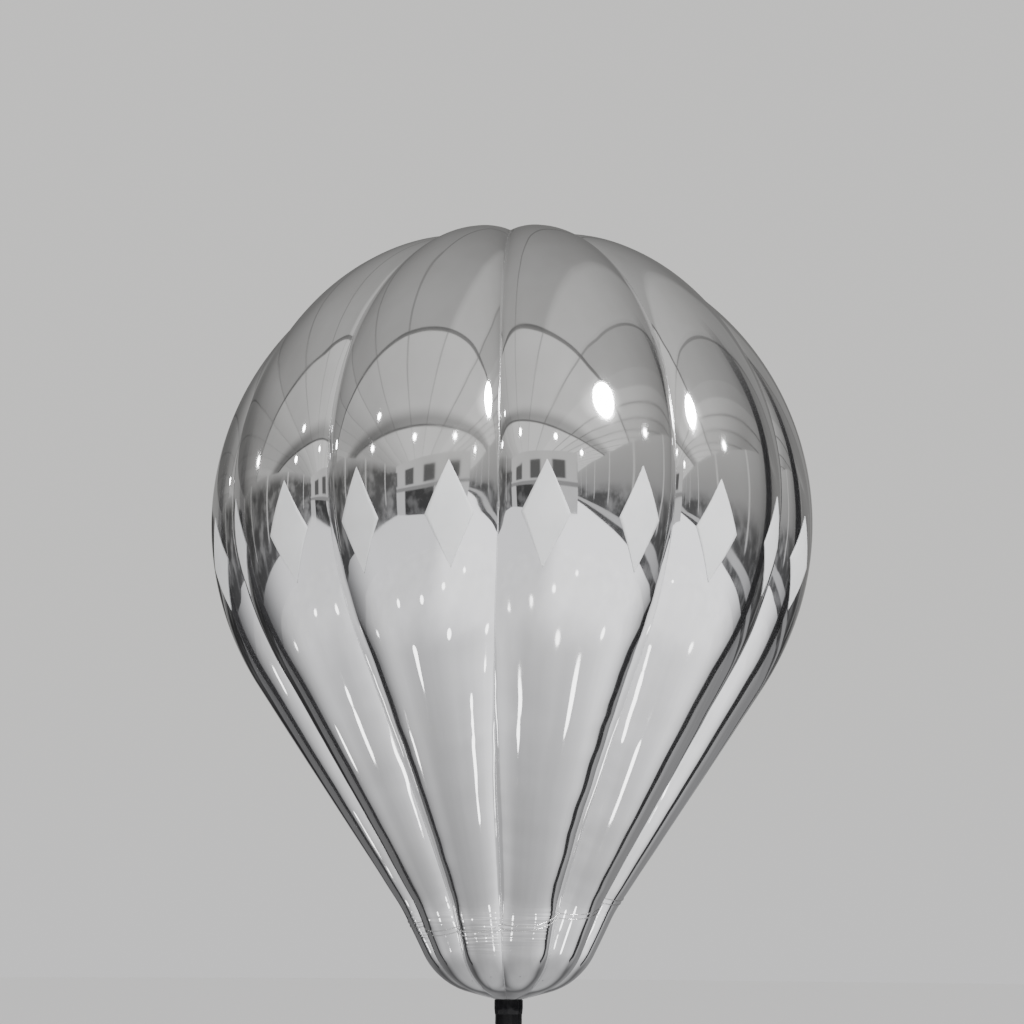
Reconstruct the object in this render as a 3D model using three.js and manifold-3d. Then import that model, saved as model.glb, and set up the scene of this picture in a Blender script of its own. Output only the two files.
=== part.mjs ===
// A mirror-film advertising balloon on its pole, shaped like a hot-air balloon.
// Eleven gores and an eleven-piece bottom cup make the envelope; it turns on the
// pole's top spigot, and the pole telescopes in a tube held by a round base plate.
// Millimetres, +Z up, origin on the floor under the pole. The front is -Y.

import * as THREE from "three";
import { mergeVertices } from "three/addons/utils/BufferGeometryUtils.js";
import Module from "manifold-3d";

// Driving dimensions

const BELLY_RADIUS = 600; // the gores' crests at the widest point
const BELLY_HEIGHT = 2310; // the widest point above the floor
const NECK_HEIGHT = 1385; // the envelope's lowest point above the floor
const CONE_ANGLE = 34.5; // of the lower flank from the vertical, degrees
const RING_HEIGHT = 1550; // the weld ring between gores and cup
const CUP_ANGLE = 27; // of the cup's flank from the vertical, degrees
const CUP_BEND = 135; // radius of the cup's round bottom
const TAIL_ANGLE = 15; // of the cup's tail, which runs in to the neck, below level
const GORES = 11;
const GORE_TURN = -2.35; // azimuth of the seam nearest to the front, degrees
const SHELL = 10; // thickness of the envelope's panels
const GAP = 0.3; // between pieces that touch
const CROWN_RADIUS = 90; // the round patch over the gores' tips
const NECK_RADIUS = 30; // the disc that closes the cup
const VALVE_RADIUS = 8;
const VALVE_HEIGHT = 1510;
const VALVE_GORE = 6; // the one at the back

const POLE_RADIUS = 25.4; // two-inch tube
const POLE_WALL = 2.5;
const POLE_FOOT = 30; // the pole's lower end above the floor, at rest
const OUTER_WALL = 3.2; // the tube that the pole slides in
const SLIDE_CLEARANCE = 0.8;
const OUTER_TOP = 780;

const BASE_RADIUS = 350;
const BASE_THICKNESS = 8;

const FACETS = 36; // around a turned piece

// Lobe depth down a gore: half the angle of the arc from seam to seam, in degrees
const LOBES = [
  // [height above the floor, half angle]
  [NECK_HEIGHT, 10],
  [1400, 34],
  [1425, 44],
  [1500, 53],
  [1590, 57],
  [1840, 51],
  [2090, 43],
  [2390, 39],
  [2865, 39],
  [2903, 12],
];

const FINISHES = {
  mirror_film: { color: 0xc4c6c8, roughness: 0.06, metalness: 1 },
  mirror_patch: { color: 0xb9bbbd, roughness: 0.12, metalness: 1 },
  neck_disc: { color: 0x1c1d1f, roughness: 0.45, metalness: 0 },
  black_gloss: { color: 0x0d0e0f, roughness: 0.16, metalness: 0.2 },
  grey_powder: { color: 0xa3a5a6, roughness: 0.5, metalness: 0.1 },
  black_nylon: { color: 0x1b1c1e, roughness: 0.6, metalness: 0 },
  zinc: { color: 0xa9abad, roughness: 0.35, metalness: 1 },
};

const rad = THREE.MathUtils.degToRad;
const wasm = await Module();
wasm.setup();

// Helpers for meshes and solids

function material(finish) {
  const made = new THREE.MeshStandardMaterial(FINISHES[finish]);
  made.name = finish;
  return made;
}

function named(name, geometry, finish) {
  const mesh = new THREE.Mesh(geometry, material(finish));
  mesh.name = name;
  return mesh;
}

function toSolid(geometry) {
  const plain = geometry.clone();
  for (const key of Object.keys(plain.attributes)) if (key !== "position") plain.deleteAttribute(key);
  const merged = mergeVertices(plain, 1e-4);
  return new wasm.Manifold(
    new wasm.Mesh({
      numProp: 3,
      vertProperties: merged.attributes.position.array,
      triVerts: new Uint32Array(merged.index.array),
    }),
  );
}

function toGeometry(solid) {
  const { vertProperties, triVerts } = solid.getMesh();
  const geometry = new THREE.BufferGeometry();
  geometry.setAttribute("position", new THREE.BufferAttribute(vertProperties, 3));
  geometry.setIndex(new THREE.BufferAttribute(triVerts, 1));
  geometry.computeVertexNormals();
  return geometry;
}

// A piece turned about Z from a closed outline of [radius, height] points
function turned(outline, facets = FACETS) {
  const points = [...outline, outline[0]].map(([r, z]) => new THREE.Vector2(r, z));
  const lathe = new THREE.LatheGeometry(points, facets);
  lathe.rotateX(Math.PI / 2); // the lathe's own axis is +Y
  return lathe;
}

function ring(inner, outer, low, high, facets = FACETS) {
  return turned(
    [
      [inner, low],
      [outer, low],
      [outer, high],
      [inner, high],
    ],
    facets,
  );
}

// A round bar or hole from low to high, centred on x, y
function bar(radius, low, high, x = 0, y = 0, facets = 24) {
  const made = new THREE.CylinderGeometry(radius, radius, high - low, facets);
  return made.rotateX(Math.PI / 2).translate(x, y, (low + high) / 2);
}

// The gores' crest line, from the crown to the neck: a sphere, a straight cone to
// the weld ring, then the cup's straight flank, round bottom and short tail

const CONE = rad(CONE_ANGLE);
const CUP = rad(CUP_ANGLE);
const TAIL = rad(90 - TAIL_ANGLE); // the tail's outward normal below level
const SPHERE_ROWS = 14;
const CONE_ROWS = 4;
const CUP_ROWS = 5;
const ACROSS = 8; // facets from seam to seam
const UP = new THREE.Vector3(0, 0, 1);

// A station: crest radius, height, and the angle of the outward normal above level
function onArc(centreRadius, centreHeight, bend, angle) {
  return {
    radius: centreRadius + bend * Math.cos(angle),
    height: centreHeight + bend * Math.sin(angle),
    normal: angle,
  };
}

function crestStations() {
  const crown = Math.acos(CROWN_RADIUS / BELLY_RADIUS);
  const upper = [];
  for (let i = 0; i <= SPHERE_ROWS; i++) {
    const angle = THREE.MathUtils.lerp(crown, -CONE, i / SPHERE_ROWS);
    upper.push(onArc(0, BELLY_HEIGHT, BELLY_RADIUS, angle));
  }
  const cone = upper[SPHERE_ROWS];
  const ringRadius = cone.radius - (cone.height - RING_HEIGHT) * Math.tan(CONE);
  for (let i = 1; i <= CONE_ROWS; i++) {
    const share = i / CONE_ROWS;
    upper.push({
      radius: THREE.MathUtils.lerp(cone.radius, ringRadius, share),
      height: THREE.MathUtils.lerp(cone.height, RING_HEIGHT, share),
      normal: i === CONE_ROWS ? -(CONE + CUP) / 2 : -CONE,
    });
  }
  // The bend touches the flank above and the tail below. Its centre lies on a line
  // beside the flank, at the height where the tail comes in to the neck.
  const sideways = ringRadius - (RING_HEIGHT + CUP_BEND * Math.sin(CUP)) * Math.tan(CUP) - CUP_BEND * Math.cos(CUP);
  const tailRise = Math.tan(rad(TAIL_ANGLE));
  const bendHeight =
    (NECK_HEIGHT + CUP_BEND * Math.sin(TAIL) + (sideways + CUP_BEND * Math.cos(TAIL) - NECK_RADIUS) * tailRise) /
    (1 - Math.tan(CUP) * tailRise);
  const bendCentre = sideways + bendHeight * Math.tan(CUP);
  const cup = [upper.at(-1)];
  for (let i = 0; i <= CUP_ROWS; i++) {
    const angle = THREE.MathUtils.lerp(-CUP, -TAIL, i / CUP_ROWS);
    cup.push(onArc(bendCentre, bendHeight, CUP_BEND, angle));
  }
  cup.push({ radius: NECK_RADIUS, height: NECK_HEIGHT, normal: -TAIL });
  return { upper, cup };
}

function lobeAngle(height) {
  const above = LOBES.findIndex(([level]) => level >= height);
  if (above <= 0) return rad(LOBES.at(above === 0 ? 0 : -1)[1]);
  const [low, lowAngle] = LOBES[above - 1];
  const [high, highAngle] = LOBES[above];
  return rad(THREE.MathUtils.mapLinear(height, low, high, lowAngle, highAngle));
}

// One point of the panel between a seam and the next. A round arc joins the two
// seams over the crest line; across runs along it from -1 to 1, depth is the
// distance inwards, and along a shift down the crest line.
function panelPoint(station, seam, across, depth, along) {
  const half = Math.PI / GORES;
  const lobe = lobeAngle(station.height);
  const [level, upright] = [Math.cos(station.normal), Math.sin(station.normal)];
  const width = (station.radius * Math.tan(half)) / (1 + Math.tan(half) * Math.tan(lobe / 2) * level);
  const bend = width / Math.sin(lobe);
  const turn = across * lobe;
  const inward = bend - (bend - depth) * Math.cos(turn);
  const x = station.radius - inward * level + along * upright;
  const z = station.height - inward * upright - along * level;
  const limit = x * Math.tan(half) - GAP / 2 / Math.cos(half);
  const side = THREE.MathUtils.clamp((bend - depth) * Math.sin(turn), -limit, limit);
  const azimuth = rad(GORE_TURN) + (seam + 0.5) * 2 * half - Math.PI / 2;
  return new THREE.Vector3(x, side, z).applyAxisAngle(UP, azimuth);
}

// A closed panel between its first and last station, as a grid outside and inside
function panel(stations, seam) {
  const rows = stations.length;
  const columns = ACROSS + 1;
  const positions = [];
  for (const depth of [0, SHELL]) {
    stations.forEach((station, row) => {
      const along = row === 0 ? GAP / 2 : row === rows - 1 ? -GAP / 2 : 0;
      for (let i = 0; i < columns; i++) {
        positions.push(...panelPoint(station, seam, (2 * i) / ACROSS - 1, depth, along).toArray());
      }
    });
  }
  const outer = (row, column) => row * columns + column;
  const inner = (row, column) => (rows + row) * columns + column;
  const faces = [];
  const quad = (a, b, c, d) => faces.push(a, b, c, a, c, d);
  for (let row = 0; row < rows - 1; row++) {
    for (let i = 0; i < ACROSS; i++) {
      quad(outer(row, i), outer(row + 1, i), outer(row + 1, i + 1), outer(row, i + 1));
      quad(inner(row, i), inner(row, i + 1), inner(row + 1, i + 1), inner(row + 1, i));
    }
    quad(outer(row, 0), inner(row, 0), inner(row + 1, 0), outer(row + 1, 0));
    quad(outer(row, ACROSS), outer(row + 1, ACROSS), inner(row + 1, ACROSS), inner(row, ACROSS));
  }
  for (let i = 0; i < ACROSS; i++) {
    quad(outer(0, i), outer(0, i + 1), inner(0, i + 1), inner(0, i));
    const last = rows - 1;
    quad(outer(last, i), inner(last, i), inner(last, i + 1), outer(last, i + 1));
  }
  const geometry = new THREE.BufferGeometry();
  geometry.setAttribute("position", new THREE.Float32BufferAttribute(positions, 3));
  geometry.setIndex(faces);
  geometry.computeVertexNormals();
  return geometry;
}

// The envelope: gores, cup panels, crown patch and neck disc

function envelope() {
  const group = new THREE.Group();
  const { upper, cup } = crestStations();
  for (let seam = 0; seam < GORES; seam++) {
    const number = String(seam + 1).padStart(2, "0");
    group.add(named(`gore_${number}`, panel(upper, seam), "mirror_film"));
    let lower = panel(cup, seam);
    if (seam + 1 === VALVE_GORE) {
      const hole = onBackCup(bar(VALVE_RADIUS + GAP, -2 * SHELL, SHELL));
      lower = toGeometry(toSolid(lower).subtract(toSolid(hole)));
    }
    group.add(named(`cup_${number}`, lower, "mirror_film"));
  }
  const crown = upper[0];
  const crownDepth = SHELL * Math.cos(crown.normal);
  const crownTop = BELLY_HEIGHT + BELLY_RADIUS;
  group.add(
    named(
      "crown_patch",
      turned([
        [0, crown.height - SHELL],
        [crown.radius - crownDepth - 2 * GAP, crown.height - SHELL],
        [crown.radius - 2 * GAP, crown.height],
        [crown.radius / 2, crownTop - 1.7],
        [0, crownTop],
      ]),
      "mirror_patch",
    ),
  );
  const neck = cup.at(-1);
  const neckDepth = SHELL * Math.cos(neck.normal);
  const bore = SPIGOT_RADIUS + SPIGOT_CLEARANCE;
  const disc = turned([
    [bore, NECK_HEIGHT],
    [neck.radius - 4 * GAP, NECK_HEIGHT],
    [neck.radius - neckDepth - 4 * GAP, NECK_HEIGHT + SHELL],
    [bore, NECK_HEIGHT + SHELL],
  ]);
  group.add(named("neck_disc", disc, "neck_disc"));
  group.add(...valve());
  return group;
}

// Stands a piece made along +Z on the crest of the back cup panel, pointing out
function onBackCup(geometry) {
  const ringRadius = crestStations().cup[0].radius;
  const radius = ringRadius - (RING_HEIGHT - VALVE_HEIGHT) * Math.tan(CUP);
  const azimuth = rad(GORE_TURN) + (VALVE_GORE - 0.5) * ((2 * Math.PI) / GORES) - Math.PI / 2;
  return geometry
    .rotateY(Math.PI / 2 + CUP)
    .translate(radius, 0, VALVE_HEIGHT)
    .rotateZ(azimuth);
}

// The inflation valve: a stem through the film, and its cap
function valve() {
  const inside = -SHELL - 6;
  const flange = 2; // over the panel's round crest
  const top = flange + 6;
  const stem = turned(
    [
      [0, inside],
      [VALVE_RADIUS, inside],
      [VALVE_RADIUS, flange - 0.5],
      [VALVE_RADIUS + 5, flange - 0.5],
      [VALVE_RADIUS + 5, flange + 1],
      [VALVE_RADIUS - 2, flange + 1],
      [VALVE_RADIUS - 2, top],
      [0, top],
    ],
    24,
  );
  const capInside = VALVE_RADIUS - 2 + GAP;
  const cap = turned(
    [
      [0, top + GAP],
      [capInside, top + GAP],
      [capInside, flange + 1 + GAP],
      [VALVE_RADIUS + 1, flange + 1 + GAP],
      [VALVE_RADIUS + 1, top + 2],
      [VALVE_RADIUS, top + 3],
      [0, top + 3],
    ],
    24,
  );
  return [
    named("valve_stem", onBackCup(stem), "black_nylon"),
    named("valve_cap", onBackCup(cap), "black_nylon"),
  ];
}

// The pole: a two-inch tube with a plug below, and above it a collar and the
// spigot that the envelope's neck disc sits on

const SPIGOT_RADIUS = 19;
const SPIGOT_CLEARANCE = 0.6;
const SPIGOT_HEIGHT = 34;
const COLLAR_HEIGHT = 26;
const COLLAR_WALL = 1.5;
const SEAT_GAP = 0.5; // between the pole's shoulder and the neck disc
const PLUG_DEPTH = 30;

function pole() {
  const group = new THREE.Group();
  const shoulder = NECK_HEIGHT - SEAT_GAP;
  const tubeTop = shoulder - COLLAR_HEIGHT;
  const bore = POLE_RADIUS - POLE_WALL;
  group.add(named("pole_tube", ring(bore, POLE_RADIUS, POLE_FOOT, tubeTop), "black_gloss"));
  group.add(
    named(
      "pole_spigot",
      turned([
        [0, tubeTop - PLUG_DEPTH],
        [bore - GAP, tubeTop - PLUG_DEPTH],
        [bore - GAP, tubeTop + GAP],
        [POLE_RADIUS, tubeTop + GAP],
        [POLE_RADIUS, shoulder],
        [SPIGOT_RADIUS, shoulder],
        [SPIGOT_RADIUS, shoulder + SPIGOT_HEIGHT - 3],
        [SPIGOT_RADIUS - 3, shoulder + SPIGOT_HEIGHT],
        [0, shoulder + SPIGOT_HEIGHT],
      ]),
      "black_nylon",
    ),
  );
  const collarInner = POLE_RADIUS + GAP;
  group.add(
    named(
      "pole_collar",
      ring(collarInner, collarInner + COLLAR_WALL, tubeTop - 1, shoulder - 1),
      "black_gloss",
    ),
  );
  group.add(
    named(
      "pole_glide",
      turned([
        [0, POLE_FOOT - 8],
        [POLE_RADIUS, POLE_FOOT - 8],
        [POLE_RADIUS, POLE_FOOT - GAP],
        [bore - GAP, POLE_FOOT - GAP],
        [bore - GAP, POLE_FOOT + PLUG_DEPTH],
        [0, POLE_FOOT + PLUG_DEPTH],
      ]),
      "black_nylon",
    ),
  );
  return group;
}

// The stand: base plate, welded socket, outer tube, and the clamp with its knob

const SOCKET_WALL = 4;
const SOCKET_HEIGHT = 96;
const FLANGE_RADIUS = 85;
const FLANGE_THICKNESS = 8;
const GUSSETS = 4;
const GUSSET_THICKNESS = 6;
const GUSSET_REACH = 74;
const GUSSET_HEIGHT = 62;
const FLANGE_BOLT_CIRCLE = 66;
const BOLT_HEAD_RADIUS = 8;
const BOLT_HEAD_HEIGHT = 6;
const CLAMP_WALL = 9;
const CLAMP_HEIGHT = 46;
const CLAMP_SLIT = 6;
const EAR_LENGTH = 20;
const EAR_THICKNESS = 9;
const KNOB_RADIUS = 24;
const KNOB_LOBES = 6;
const KNOB_BOSS = 20; // the head stands clear of the ring
const KNOB_HEAD = 16;

const OUTER_BORE = POLE_RADIUS + SLIDE_CLEARANCE;
const OUTER_RADIUS = OUTER_BORE + OUTER_WALL;

function aroundZ(count, start, place) {
  return Array.from({ length: count }, (_, i) => place(start + (i * 2 * Math.PI) / count));
}

function basePlate() {
  const plate = turned(
    [
      [0, 0],
      [BASE_RADIUS - 1, 0],
      [BASE_RADIUS, 1],
      [BASE_RADIUS, BASE_THICKNESS - 2],
      [BASE_RADIUS - 2, BASE_THICKNESS],
      [FLANGE_RADIUS + 5, BASE_THICKNESS],
      [0, BASE_THICKNESS],
    ],
    72,
  );
  return named("base_plate", plate, "grey_powder");
}

function baseSocket() {
  const low = BASE_THICKNESS + GAP;
  const flangeTop = low + FLANGE_THICKNESS;
  const inner = OUTER_RADIUS + GAP;
  const outer = inner + SOCKET_WALL;
  let solid = toSolid(
    turned([
      [0, low],
      [FLANGE_RADIUS, low],
      [FLANGE_RADIUS, flangeTop],
      [outer, flangeTop],
      [outer, low + SOCKET_HEIGHT],
      [inner, low + SOCKET_HEIGHT],
      [inner, flangeTop],
      [0, flangeTop],
    ]),
  );
  const side = new THREE.Shape([
    new THREE.Vector2(outer - 1, flangeTop - 1),
    new THREE.Vector2(GUSSET_REACH, flangeTop - 1),
    new THREE.Vector2(GUSSET_REACH, flangeTop + 8),
    new THREE.Vector2(outer + 6, flangeTop + GUSSET_HEIGHT),
    new THREE.Vector2(outer - 1, flangeTop + GUSSET_HEIGHT),
  ]);
  const gusset = new THREE.ExtrudeGeometry(side, { depth: GUSSET_THICKNESS, bevelEnabled: false });
  gusset.translate(0, 0, -GUSSET_THICKNESS / 2).rotateX(Math.PI / 2);
  aroundZ(GUSSETS, 0, (turn) => {
    solid = solid.add(toSolid(gusset.clone().rotateZ(turn)));
  });
  aroundZ(GUSSETS, Math.PI / GUSSETS, (turn) => {
    const [x, y] = [FLANGE_BOLT_CIRCLE * Math.cos(turn), FLANGE_BOLT_CIRCLE * Math.sin(turn)];
    solid = solid.add(toSolid(bar(BOLT_HEAD_RADIUS, flangeTop - 1, flangeTop + BOLT_HEAD_HEIGHT, x, y, 6)));
  });
  return named("base_socket", toGeometry(solid), "grey_powder");
}

function outerTube() {
  const low = BASE_THICKNESS + FLANGE_THICKNESS + 2 * GAP;
  return named("outer_tube", ring(OUTER_BORE, OUTER_RADIUS, low, OUTER_TOP), "black_gloss");
}

// A split ring on the outer tube's top, with two ears at the right drawn together
// by the knob's screw
function clamp() {
  const group = new THREE.Group();
  const inner = OUTER_RADIUS + GAP;
  const outer = inner + CLAMP_WALL;
  const low = OUTER_TOP - CLAMP_HEIGHT + 6;
  const high = OUTER_TOP + 6;
  const middle = (low + high) / 2;
  const earSpan = 2 * EAR_THICKNESS + CLAMP_SLIT;
  const ears = new THREE.BoxGeometry(EAR_LENGTH + CLAMP_WALL / 2, earSpan, CLAMP_HEIGHT - 12);
  ears.translate(outer + (EAR_LENGTH - CLAMP_WALL / 2) / 2, 0, middle);
  const slit = new THREE.BoxGeometry(CLAMP_WALL + EAR_LENGTH + 20, CLAMP_SLIT, CLAMP_HEIGHT + 2);
  slit.translate(inner - 5 + (CLAMP_WALL + EAR_LENGTH + 20) / 2, 0, middle);
  const across = (radius, from, to) =>
    new THREE.CylinderGeometry(radius, radius, to - from, 24).translate(0, (from + to) / 2, 0);
  const screwX = outer + EAR_LENGTH / 2 + 1;
  const hole = across(4.5, -earSpan, earSpan).translate(screwX, 0, middle);
  const body = toSolid(ring(inner, outer, low, high)).add(toSolid(ears)).subtract(toSolid(slit)).subtract(toSolid(hole));
  group.add(named("clamp_ring", toGeometry(body), "black_nylon"));

  const face = earSpan / 2 + GAP;
  const shank = across(4, -face - 7, face + KNOB_BOSS + 10);
  const nut = new THREE.CylinderGeometry(8, 8, 7, 6).translate(0, -face - 3.5, 0);
  const screw = toSolid(shank).add(toSolid(nut));
  group.add(named("clamp_screw", toGeometry(screw).translate(screwX, 0, middle), "zinc"));

  const lobe = KNOB_RADIUS / 3.2;
  const head = face + KNOB_BOSS;
  let knob = toSolid(across(KNOB_RADIUS - lobe, head, head + KNOB_HEAD)).add(toSolid(across(9, face, head + 2)));
  for (let i = 0; i < KNOB_LOBES; i++) {
    const turn = (i * 2 * Math.PI) / KNOB_LOBES;
    const reach = KNOB_RADIUS - lobe;
    const grip = across(lobe, head + 2, head + KNOB_HEAD);
    knob = knob.add(toSolid(grip.translate(reach * Math.cos(turn), 0, reach * Math.sin(turn))));
  }
  knob = knob.subtract(toSolid(across(4 + GAP, face - 1, head + 10 + GAP)));
  group.add(named("clamp_knob", toGeometry(knob).translate(screwX, 0, middle), "black_nylon"));
  return group;
}

const balloon = new THREE.Group();
balloon.name = "advertising_balloon";
balloon.add(envelope(), pole(), basePlate(), baseSocket(), outerTube(), clamp());

export default balloon;
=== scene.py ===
import math

import bmesh
import bpy
from mathutils import Matrix, Vector


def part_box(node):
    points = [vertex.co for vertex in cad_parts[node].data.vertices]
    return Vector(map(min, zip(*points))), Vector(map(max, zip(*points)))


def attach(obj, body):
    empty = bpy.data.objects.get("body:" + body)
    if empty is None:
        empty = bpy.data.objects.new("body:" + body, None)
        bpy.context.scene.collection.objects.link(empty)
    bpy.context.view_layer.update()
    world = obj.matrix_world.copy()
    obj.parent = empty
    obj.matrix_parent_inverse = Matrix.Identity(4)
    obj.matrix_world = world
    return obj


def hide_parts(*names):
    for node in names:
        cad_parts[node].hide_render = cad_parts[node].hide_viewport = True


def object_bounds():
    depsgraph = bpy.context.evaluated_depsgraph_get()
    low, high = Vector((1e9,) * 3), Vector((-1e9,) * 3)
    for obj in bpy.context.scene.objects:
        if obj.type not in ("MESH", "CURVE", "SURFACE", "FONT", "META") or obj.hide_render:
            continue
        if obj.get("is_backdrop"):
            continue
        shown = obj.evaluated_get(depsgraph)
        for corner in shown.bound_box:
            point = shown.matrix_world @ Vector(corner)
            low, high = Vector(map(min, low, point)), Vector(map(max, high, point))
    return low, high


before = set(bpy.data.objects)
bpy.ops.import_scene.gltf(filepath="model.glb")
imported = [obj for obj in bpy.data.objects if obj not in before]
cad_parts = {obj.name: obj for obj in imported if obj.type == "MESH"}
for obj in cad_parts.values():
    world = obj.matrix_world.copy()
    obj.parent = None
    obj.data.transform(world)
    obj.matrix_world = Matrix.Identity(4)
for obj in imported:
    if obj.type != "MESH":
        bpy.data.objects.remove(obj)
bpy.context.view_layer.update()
scene = bpy.context.scene

# Camera: held at 1.5 m, 3.4 m in front of the pole, looking up at the envelope.
# The pole's foot and the base lie below the picture.

camera = bpy.data.objects.new("camera", bpy.data.cameras.new("camera"))
scene.collection.objects.link(camera)
scene.camera = camera
camera.matrix_world = (
    Matrix.Translation((0.0002, -3.398, 1.502))
    @ Matrix.Rotation(math.radians(90 + 13.8), 4, "X")
    @ Matrix.Rotation(math.radians(0.38), 4, "Z")
)
camera.data.sensor_width = 36
camera.data.lens = 60.6
camera.data.clip_start = 0.05

# Envelope: eleven gores of metallised film, welded edge to edge from the crown patch
# down to a weld ring, and an eleven-piece cup below it. Air pressure bulges every gore
# into a lobe, and the film puckers beside each seam, more in the cone than on top.

BELLY_RADIUS = 0.600
BELLY_HEIGHT = 2.310
CONE_ANGLE = math.radians(34.5)
RING_HEIGHT = 1.550
RING_TILT = (0.14, 0.24)  # how much the weld ring climbs towards +x and +y
RING_BEND = 0.30  # the film's round turn from cone to cup
CUP_ANGLE = math.radians(27)
CUP_BEND = 0.135
TAIL_ANGLE = math.radians(15)
NECK_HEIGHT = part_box("neck_disc")[0].z
NECK_RADIUS = 0.030
CROWN_RADIUS = 0.090
GORES = 11
GORE_TURN = math.radians(-2.35)

LOBES = [  # height above the floor, half angle of the lobe's arc in degrees
    (NECK_HEIGHT, 10),
    (1.400, 34),
    (1.425, 44),
    (1.500, 53),
    (1.590, 57),
    (1.840, 51),
    (2.090, 43),
    (2.390, 39),
    (2.865, 39),
    (2.903, 12),
]
SEAM_LEAN = {0: -2.2, 2: 1.7}  # seam: degrees that it leans to the right in the cone
SEAM_SHOULDER = 0.0035  # how far the film swells out beside a seam on the upper part
LOBE_CURVE_LOW = 1.30  # the lobe curve runs over these heights and up to this angle
LOBE_CURVE_HIGH = 2.95
LOBE_CURVE_ANGLE = 90
MERGE_WITHIN = 0.00002  # points of one seam that are this near are one point


class Link:
    """A value inside a node tree. Arithmetic on it adds Math nodes."""

    def __init__(self, tree, socket=None):
        self.tree = tree
        self.socket = socket

    def node(self, kind, settings, *given, out=0, **named):
        """Add a node: its settings, then its sockets in order or by name."""
        made = self.tree.nodes.new(kind)
        for key, value in settings.items():
            if key == "points":
                curve = made.mapping.curves[0]
                while len(curve.points) < len(value):
                    curve.points.new(1, 1)
                for point, place in zip(curve.points, value):
                    point.location = place
                    point.handle_type = "AUTO_CLAMPED"
                made.mapping.update()
            elif key == "cases":
                while len(made.index_switch_items) < value:
                    made.index_switch_items.new()
            else:
                setattr(made, key, value)
        sockets = [socket for socket in made.inputs if socket.enabled]
        by_name = {socket.name: socket for socket in reversed(sockets)}
        chosen = list(zip(sockets, given))
        for name, value in named.items():
            chosen.append((by_name[name.replace("_", " ")], value))
        for socket, value in chosen:
            if isinstance(value, Link):
                self.tree.links.new(value.socket, socket)
            elif value is not None:
                socket.default_value = value
        if isinstance(out, tuple):
            return [Link(self.tree, made.outputs[one]) for one in out]
        return Link(self.tree, made.outputs[out])

    def maths(self, operation, *others):
        return self.node("ShaderNodeMath", {"operation": operation}, self, *others)

    def __add__(self, other):
        return self.maths("ADD", other)

    __radd__ = __add__

    def __sub__(self, other):
        return self.maths("SUBTRACT", other)

    def __rsub__(self, other):
        return self.node("ShaderNodeMath", {"operation": "SUBTRACT"}, other, self)

    def __mul__(self, other):
        return self.maths("MULTIPLY", other)

    __rmul__ = __mul__

    def __truediv__(self, other):
        return self.maths("DIVIDE", other)

    def __rtruediv__(self, other):
        return self.node("ShaderNodeMath", {"operation": "DIVIDE"}, other, self)

    def __pow__(self, other):
        return self.maths("POWER", other)

    def __mod__(self, other):
        return self.maths("FLOORED_MODULO", other)

    def __gt__(self, other):
        return self.maths("GREATER_THAN", other)

    def __abs__(self):
        return self.maths("ABSOLUTE")

    def ramp(self, low, high, low_value=0.0, high_value=1.0):
        """A smooth step from one value to another as this one goes from low to high."""
        settings = {"interpolation_type": "SMOOTHSTEP", "clamp": True}
        return self.node("ShaderNodeMapRange", settings, self, low, high, low_value, high_value)

    def colour(self, first, second):
        """The colour between two others, by this value."""
        settings = {"data_type": "RGBA"}
        return self.node("ShaderNodeMix", settings, self, (*first, 1), (*second, 1), out=2)

    def parts(self, *axes):
        """This place's or direction's parts along some axes."""
        return self.node("ShaderNodeSeparateXYZ", {}, self, out=axes)

    def into(self, socket):
        self.tree.links.new(self.socket, socket)


def new_tree(name, inputs, outputs=(("Geometry", "Geometry"),)):
    """A node group with named inputs. Gives it, its inputs and the end node."""
    tree = bpy.data.node_groups.new(name, "GeometryNodeTree")
    for label, kind in inputs:
        tree.interface.new_socket(label, in_out="INPUT", socket_type=f"NodeSocket{kind}")
    for label, kind in outputs:
        tree.interface.new_socket(label, in_out="OUTPUT", socket_type=f"NodeSocket{kind}")
    start = tree.nodes.new("NodeGroupInput")
    end = tree.nodes.new("NodeGroupOutput")
    return tree, {label: Link(tree, start.outputs[label]) for label, _ in inputs}, end


def numbers(*names):
    """Inputs of a tree that are plain numbers."""
    return [(name, "Float") for name in names]


def run_tree(name, tree, values):
    """Run a tree and keep the plain mesh that comes out."""
    piece = bpy.data.objects.new(name, bpy.data.meshes.new(name))
    scene.collection.objects.link(piece)
    modifier = piece.modifiers.new(name, "NODES")
    modifier.node_group = tree
    for item in tree.interface.items_tree:
        if item.in_out == "INPUT" and item.name in values:
            modifier[item.identifier] = values[item.name]
    return settled(piece)


def settled(piece):
    """Turn a piece's modifiers into plain mesh."""
    graph = bpy.context.evaluated_depsgraph_get()
    mesh = bpy.data.meshes.new_from_object(piece.evaluated_get(graph), depsgraph=graph)
    piece.modifiers.clear()
    piece.data = mesh
    return piece


def fitted(piece, body, slot, *solids):
    """Say which body a piece rides on and the solids it stands for; its finish, the slot, is not
    used.
    """
    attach(piece, body)
    if solids:
        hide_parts(*solids)


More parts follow.
